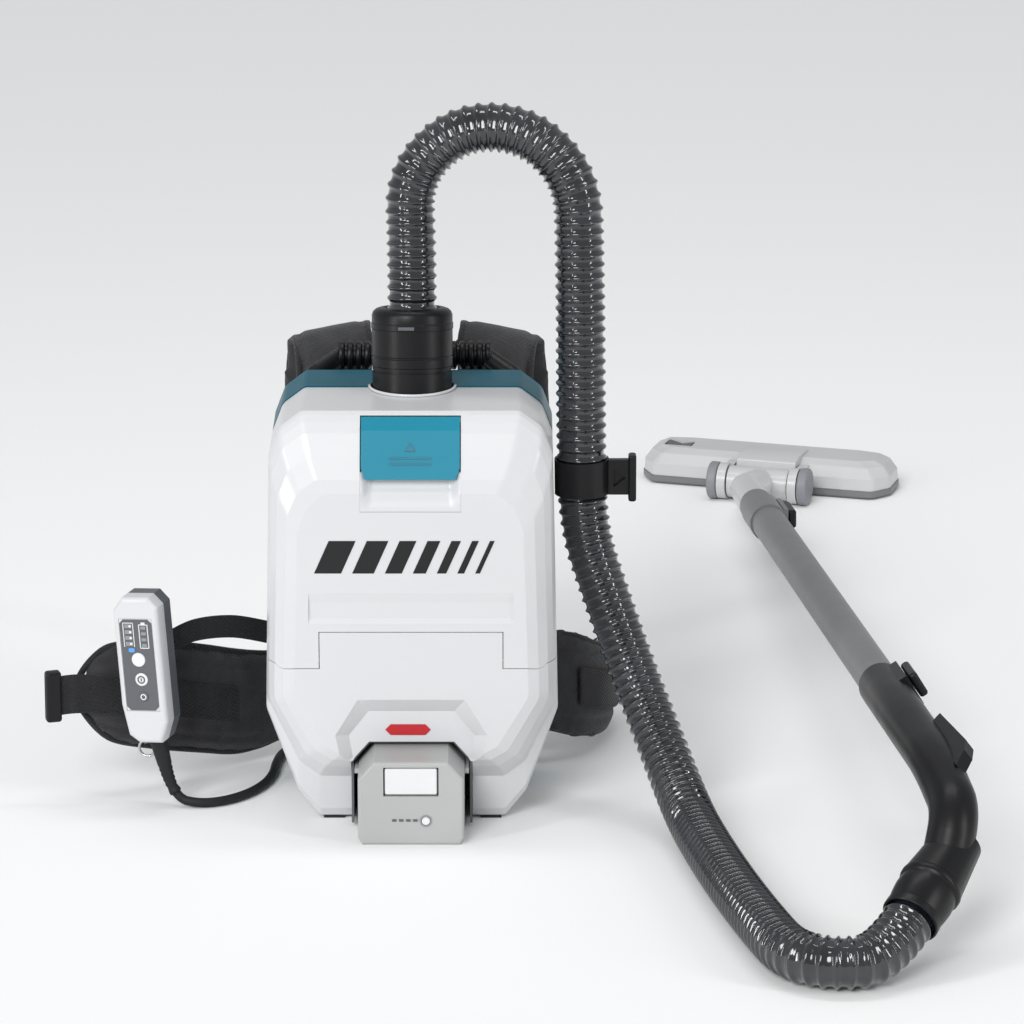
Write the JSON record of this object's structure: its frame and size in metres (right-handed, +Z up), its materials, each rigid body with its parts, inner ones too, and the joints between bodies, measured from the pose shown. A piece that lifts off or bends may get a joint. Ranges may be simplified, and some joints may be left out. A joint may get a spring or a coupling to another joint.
{
  "type": "backpack vacuum cleaner",
  "caption": "Battery backpack vacuum cleaner with a hinged front cover, harness, wired remote control, corrugated hose, bent wand and floor nozzle.",
  "frame": {"origin": "on the floor, under the middle of the pack's base, on its rubber bar's underside", "axes": "+Z up, -Y the pack's front (battery side), +Y the wearer's side, +X to the hose clip's side"},
  "size_m": [0.7109, 1.4052, 0.531],
  "materials": {
    "white": "smooth satin white moulding",
    "teal": "smooth satin teal moulding",
    "latch_teal": "satin bright teal",
    "black_plastic": "satin black",
    "hose_black": "dark translucent corrugated",
    "battery_grey": "light grey satin",
    "button_white": "off-white satin",
    "padding": "woven black over foam",
    "webbing": "woven polyester tape",
    "pipe_grey": "warm grey satin tube",
    "nozzle_grey": "silver grey moulding",
    "wheel_grey": "dark grey tread",
    "dark_grey": "dark grey satin",
    "panel_grey": "grey overlay",
    "rubber_black": "black rubber",
    "steel": "plain steel",
    "paper": "non-woven filter cloth",
    "board": "circuit board",
    "copper": "enamelled copper windings"
  },
  "bodies": {
    "pack": {"rear_housing": "teal", "lower_housing": "white", "inlet_collar": "black_plastic", "dust_bag": "paper", "hepa_filter": "paper", "filter_frame": "dark_grey", "motor_housing": "dark_grey", "motor_stator": "copper", "motor_bearings": "steel", "control_board": "board", "bay_liner": "dark_grey", "battery_terminal": "copper", "carry_handle": "black_plastic", "rubber_feet": "rubber_black", "back_plate": "black_plastic", "back_pad": "padding", "shoulder_strap_left": "padding", "shoulder_strap_right": "padding", "shoulder_webbing": "webbing", "strap_adjusters": "black_plastic", "belt_pad_left": "padding", "belt_pad_right": "padding", "belt_webbing": "webbing", "belt_buckle": "black_plastic", "stabiliser_strap": "webbing", "housing_screws": "steel", "hose": "hose_black", "hose_clip": "black_plastic", "remote_front_shell": "white", "remote_rear_shell": "dark_grey", "remote_panel": "panel_grey", "cable_strain_relief": "rubber_black", "remote_cable": "rubber_black"},
    "cover": {"front_cover": "white", "latch_pins": "black_plastic", "cover_gasket": "rubber_black", "cover_hinge_pins": "steel"},
    "latch": {"cover_latch": "latch_teal"},
    "battery": {"battery_case": "battery_grey"},
    "release_button": {"battery_button": "button_white"},
    "gauge": {"gauge_button": "button_white"},
    "swivel": {"swivel_cuff": "black_plastic"},
    "rotor": {"rotor_shaft": "steel", "impeller": "dark_grey"},
    "wand": {"handle_pipe": "black_plastic", "wand_pipe": "pipe_grey"},
    "hose_cuff": {"hose_end_cuff": "black_plastic"},
    "handle_lock_button": {"handle_lock": "black_plastic"},
    "pipe_lock_lever": {"pipe_lock": "black_plastic"},
    "neck": {"nozzle_elbow": "nozzle_grey"},
    "nozzle": {"nozzle_top": "nozzle_grey", "nozzle_sole": "dark_grey"},
    "brush": {"nozzle_brush": "rubber_black"},
    "rocker_pedal": {"nozzle_rocker": "dark_grey"},
    "wheel_left": {"nozzle_wheel_left": "wheel_grey"},
    "wheel_right": {"nozzle_wheel_right": "wheel_grey"},
    "mode_key": {"remote_mode_button": "button_white"},
    "power_key": {"remote_power_button": "button_white"},
    "eco_key": {"remote_eco_button": "dark_grey"},
    "d_ring": {"remote_d_ring": "steel"}
  },
  "joints": [
    {"name": "cover_open", "type": "hinge", "parent": "pack", "child": "cover", "pos_m": [0, -0.081, 0.133], "axis": [1, 0, 0], "range_deg": [0, 75]},
    {"name": "latch_flip", "type": "hinge", "parent": "cover", "child": "latch", "pos_m": [0, -0.0605, 0.3085], "axis": [-1, 0, 0], "range_deg": [0, 55], "stiffness_Nm_per_rad": 0.05, "springref_deg": -2.86},
    {"name": "battery_slide", "type": "slide", "parent": "pack", "child": "battery", "axis": [0, -1, 0], "range_m": [0, 0.12]},
    {"name": "release_press", "type": "slide", "parent": "battery", "child": "release_button", "axis": [0, 1, 0], "range_m": [0, 0.004], "stiffness_N_per_m": 500, "springref_m": -0.002},
    {"name": "gauge_press", "type": "slide", "parent": "battery", "child": "gauge", "axis": [0, 1, 0], "range_m": [0, 0.001], "stiffness_N_per_m": 500, "springref_m": -0.001},
    {"name": "cuff_turn", "type": "hinge", "parent": "pack", "child": "swivel", "pos_m": [0, 0.02, 0.318], "axis": [0, 0.1392, 0.9903], "continuous": true},
    {"name": "rotor_spin", "type": "hinge", "parent": "pack", "child": "rotor", "pos_m": [0, 0.037, 0.05], "axis": [0, 0, 1], "continuous": true},
    {"name": "wand_lift", "type": "slide", "parent": "pack", "child": "wand", "axis": [0, 0, 1], "range_m": [0, 0.12], "deforming": ["hose"]},
    {"name": "hose_cuff_turn", "type": "hinge", "parent": "wand", "child": "hose_cuff", "pos_m": [0.3512, -0.3836, 0.0377], "axis": [0.48, 0.7451, 0.463], "continuous": true},
    {"name": "handle_lock_press", "type": "slide", "parent": "wand", "child": "handle_lock_button", "axis": [-0.8427, -0.1158, -0.5257], "range_m": [0, 0.002], "stiffness_N_per_m": 500, "springref_m": -0.001},
    {"name": "pipe_lock_press", "type": "slide", "parent": "wand", "child": "pipe_lock_lever", "axis": [-0.9966, -0.0829, 0], "range_m": [0, 0.0015], "stiffness_N_per_m": 500, "springref_m": -0.001},
    {"name": "neck_turn", "type": "hinge", "parent": "wand", "child": "neck", "pos_m": [0.2916, 0.68, 0.0404], "axis": [-0.0826, 0.9928, -0.0863], "range_deg": [-60, 60]},
    {"name": "nozzle_tilt", "type": "hinge", "parent": "neck", "child": "nozzle", "pos_m": [0.30127, 0.8395, 0.017], "axis": [0.9563, -0.2924, 0], "range_deg": [-5, 70]},
    {"name": "brush_drop", "type": "slide", "parent": "nozzle", "child": "brush", "axis": [0, 0, -1], "range_m": [0, 0.004]},
    {"name": "rocker_tip", "type": "hinge", "parent": "nozzle", "child": "rocker_pedal", "pos_m": [0.23138, 0.92727, 0.026], "axis": [0.2924, 0.9563, 0], "range_deg": [0, 10]},
    {"name": "wheel_spin_left", "type": "hinge", "parent": "nozzle", "child": "wheel_left", "pos_m": [0.30127, 0.8395, 0.017], "axis": [0.9563, -0.2924, 0], "continuous": true},
    {"name": "wheel_spin_right", "type": "hinge", "parent": "nozzle", "child": "wheel_right", "pos_m": [0.30127, 0.8395, 0.017], "axis": [0.9563, -0.2924, 0], "continuous": true},
    {"name": "mode_press", "type": "slide", "parent": "pack", "child": "mode_key", "axis": [0.309, 0.9511, 0], "range_m": [0, 0.0008], "stiffness_N_per_m": 500, "springref_m": -0.001},
    {"name": "power_press", "type": "slide", "parent": "pack", "child": "power_key", "axis": [0.309, 0.9511, 0], "range_m": [0, 0.0008], "stiffness_N_per_m": 500, "springref_m": -0.001},
    {"name": "eco_press", "type": "slide", "parent": "pack", "child": "eco_key", "axis": [0.309, 0.9511, 0], "range_m": [0, 0.0008], "stiffness_N_per_m": 500, "springref_m": -0.001},
    {"name": "d_ring_swing", "type": "hinge", "parent": "pack", "child": "d_ring", "pos_m": [-0.20256, -0.01623, 0.04956], "axis": [0.9481, -0.3081, 0.0785], "range_deg": [-15, 30]}
  ],
  "couplings": [
    {"joint": "rocker_tip", "follows": "brush_drop", "rad_per_m": 42.761}
  ]
}
